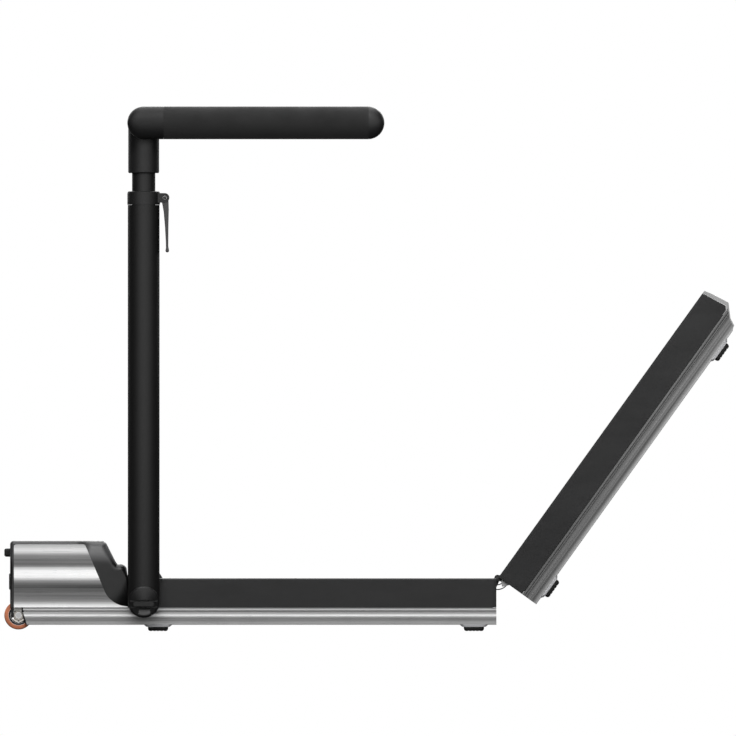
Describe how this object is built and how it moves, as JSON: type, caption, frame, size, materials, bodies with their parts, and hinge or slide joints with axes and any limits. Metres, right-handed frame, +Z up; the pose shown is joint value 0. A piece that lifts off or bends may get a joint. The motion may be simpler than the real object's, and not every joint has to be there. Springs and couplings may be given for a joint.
{
  "type": "folding treadmill",
  "caption": "Folding walking treadmill: motor hood, two-section belt deck with the rear section raised on its hinge, and fold-down handrails with telescoping stems.",
  "frame": {"origin": "on the floor, below the middle of the object's box", "axes": "+Z up, -X towards the nose and motor hood, +X towards the raised rear deck, -Y the walker's left"},
  "size_m": [1.2479, 0.717, 0.8969],
  "materials": {
    "black_plastic": "satin moulded",
    "black_paint": "black powder coat",
    "silver": "satin, drawn lines along its length",
    "steel": "turned",
    "roller_metal": "turned",
    "frame_paint": "black powder coat",
    "belt_rubber": "fine diamond texture",
    "foot_rubber": "matte",
    "orange_tyre": "satin",
    "board": "waxed fibreboard",
    "light_grey": "satin moulded",
    "grip_foam": "closed-cell foam",
    "lens": "gloss",
    "motor_metal": "cast"
  },
  "bodies": {
    "base": {"frame_front": "frame_paint", "deck_board_front": "board", "running_belt_front": "belt_rubber", "motor_hood": "black_plastic", "front_panel": "black_plastic", "floor_pan": "steel", "drive_motor": "motor_metal", "drive_belt": "belt_rubber", "drive_roller_axle": "steel", "motor_controller": "motor_metal", "display_lens": "lens", "power_inlet": "black_plastic", "wheel_axle": "steel", "side_rail_front_left": "silver", "side_cover_front_left": "black_plastic", "hood_panel_left": "silver", "standing_foot_left": "foot_rubber", "foot_front_inner_left": "foot_rubber", "foot_front_outer_left": "foot_rubber", "hinge_pin_left": "steel", "post_bracket_left": "black_plastic", "side_rail_front_right": "silver", "side_cover_front_right": "black_plastic", "hood_panel_right": "silver", "standing_foot_right": "foot_rubber", "foot_front_inner_right": "foot_rubber", "foot_front_outer_right": "foot_rubber", "hinge_pin_right": "steel", "post_bracket_right": "black_plastic"},
    "rear_deck": {"frame_rear": "frame_paint", "deck_board_rear": "board", "running_belt_rear": "belt_rubber", "idler_roller_axle": "steel", "end_cap": "light_grey", "side_rail_rear_left": "silver", "side_cover_rear_left": "black_plastic", "foot_rear_inner_left": "foot_rubber", "foot_rear_outer_left": "foot_rubber", "side_rail_rear_right": "silver", "side_cover_rear_right": "black_plastic", "foot_rear_inner_right": "foot_rubber", "foot_rear_outer_right": "foot_rubber"},
    "drive_roller_body": {"drive_roller": "roller_metal"},
    "idler_roller_body": {"idler_roller": "roller_metal"},
    "motor_pulley_body": {"motor_pulley": "steel"},
    "switch_rocker": {"power_switch": "black_plastic"},
    "left_wheel": {"transport_wheel_left": "orange_tyre"},
    "left_post": {"post_left": "black_paint", "clamp_collar_left": "black_plastic"},
    "left_knob": {"post_knob_left": "black_plastic"},
    "left_lever": {"clamp_lever_left": "black_plastic"},
    "left_stem": {"stem_left": "black_paint"},
    "left_arm": {"handle_arm_left": "grip_foam"},
    "right_wheel": {"transport_wheel_right": "orange_tyre"},
    "right_post": {"post_right": "black_paint", "clamp_collar_right": "black_plastic"},
    "right_knob": {"post_knob_right": "black_plastic"},
    "right_lever": {"clamp_lever_right": "black_plastic"},
    "right_stem": {"stem_right": "black_paint"},
    "right_arm": {"handle_arm_right": "grip_foam"}
  },
  "joints": [
    {"name": "deck_fold", "type": "hinge", "parent": "base", "child": "rear_deck", "pos_m": [0.21915, 0, 0.0912], "axis": [0, -1, 0], "range_deg": [-54.3, 125.7]},
    {"name": "drive_roller_spin", "type": "hinge", "parent": "base", "child": "drive_roller_body", "pos_m": [-0.44885, 0, 0.0581], "axis": [0, 1, 0], "continuous": true},
    {"name": "idler_roller_spin", "type": "hinge", "parent": "rear_deck", "child": "idler_roller_body", "pos_m": [0.57982, 0, 0.5364], "axis": [0, 1, 0], "continuous": true},
    {"name": "motor_pulley_spin", "type": "hinge", "parent": "base", "child": "motor_pulley_body", "pos_m": [-0.52405, 0, 0.083], "axis": [0, 1, 0], "continuous": true},
    {"name": "switch_rock", "type": "hinge", "parent": "base", "child": "switch_rocker", "pos_m": [-0.60655, -0.11, 0.085], "axis": [0, 1, 0], "range_deg": [0, 14]},
    {"name": "left_wheel_spin", "type": "hinge", "parent": "base", "child": "left_wheel", "pos_m": [-0.59965, -0.251, 0.0271], "axis": [0, 1, 0], "continuous": true},
    {"name": "left_post_fold", "type": "hinge", "parent": "base", "child": "left_post", "pos_m": [-0.38565, -0.301, 0.0502], "axis": [0, 1, 0], "range_deg": [0, 90]},
    {"name": "left_knob_turn", "type": "hinge", "parent": "base", "child": "left_knob", "pos_m": [-0.38565, -0.328, 0.0502], "axis": [0, -1, 0], "range_deg": [0, 90]},
    {"name": "left_stem_slide", "type": "slide", "parent": "left_post", "child": "left_stem", "axis": [0, 0, 1], "range_m": [-0.026, 0.1]},
    {"name": "left_arm_swing", "type": "hinge", "parent": "left_stem", "child": "left_arm", "pos_m": [-0.38565, -0.3395, 0.8689], "axis": [0, 1, 0], "range_deg": [-90, 90]},
    {"name": "left_lever_open", "type": "hinge", "parent": "left_post", "child": "left_lever", "pos_m": [-0.34955, -0.301, 0.741], "axis": [0, -1, 0], "range_deg": [0, 110]},
    {"name": "right_wheel_spin", "type": "hinge", "parent": "base", "child": "right_wheel", "pos_m": [-0.59965, 0.251, 0.0271], "axis": [0, 1, 0], "continuous": true},
    {"name": "right_post_fold", "type": "hinge", "parent": "base", "child": "right_post", "pos_m": [-0.38565, 0.301, 0.0502], "axis": [0, 1, 0], "range_deg": [0, 90]},
    {"name": "right_knob_turn", "type": "hinge", "parent": "base", "child": "right_knob", "pos_m": [-0.38565, 0.328, 0.0502], "axis": [0, 1, 0], "range_deg": [0, 90]},
    {"name": "right_stem_slide", "type": "slide", "parent": "right_post", "child": "right_stem", "axis": [0, 0, 1], "range_m": [-0.026, 0.1]},
    {"name": "right_arm_swing", "type": "hinge", "parent": "right_stem", "child": "right_arm", "pos_m": [-0.38565, 0.3395, 0.8689], "axis": [0, 1, 0], "range_deg": [-90, 90]},
    {"name": "right_lever_open", "type": "hinge", "parent": "right_post", "child": "right_lever", "pos_m": [-0.34955, 0.301, 0.741], "axis": [0, -1, 0], "range_deg": [0, 110]}
  ],
  "couplings": [
    {"joint": "idler_roller_spin", "follows": "drive_roller_spin", "ratio": 1},
    {"joint": "motor_pulley_spin", "follows": "drive_roller_spin", "ratio": 2}
  ]
}
